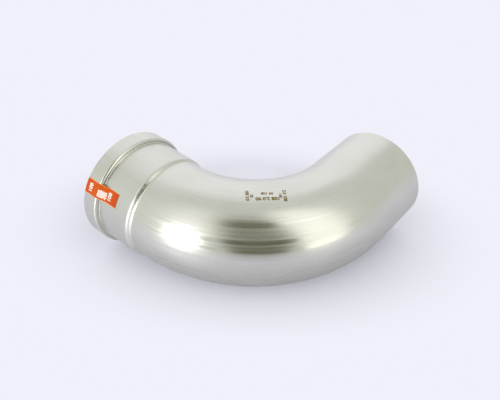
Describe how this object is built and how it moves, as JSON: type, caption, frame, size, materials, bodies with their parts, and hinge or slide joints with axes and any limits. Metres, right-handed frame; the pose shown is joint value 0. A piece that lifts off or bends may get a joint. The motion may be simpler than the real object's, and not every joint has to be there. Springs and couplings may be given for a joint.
{
  "type": "pipe elbow",
  "caption": "Stainless press elbow that turns a round pipe run through a right angle, from a ringed push-in socket to a plain tube end.",
  "frame": {"origin": "on the socket's axis, where the guide bore starts behind the shoulder that stops the tube", "axes": "+Y along the socket's axis out of its mouth, +X along the plain end's axis out of its sawn face, +Z square to the bend plane, up when the elbow lies on its side"},
  "size_m": [0.2544, 0.2492, 0.1224],
  "materials": {
    "stainless_tube": "pickled satin with fine lengthwise drawing lines",
    "seal_rubber": "moulded, matt",
    "separator_plastic": "moulded, matt",
    "grip_steel": "stamped, plain",
    "indicator_film": "printed adhesive film"
  },
  "bodies": {
    "fitting": {"elbow_body": "stainless_tube", "seal_ring": "seal_rubber", "separator_ring": "separator_plastic", "press_indicator_strip": "indicator_film"},
    "grip": {"grip_ring": "grip_steel"}
  },
  "joints": [
    {"name": "grip_ring_turn", "type": "hinge", "parent": "fitting", "child": "grip", "pos_m": [0, 0.053, 0], "axis": [0, 1, 0], "continuous": true}
  ]
}
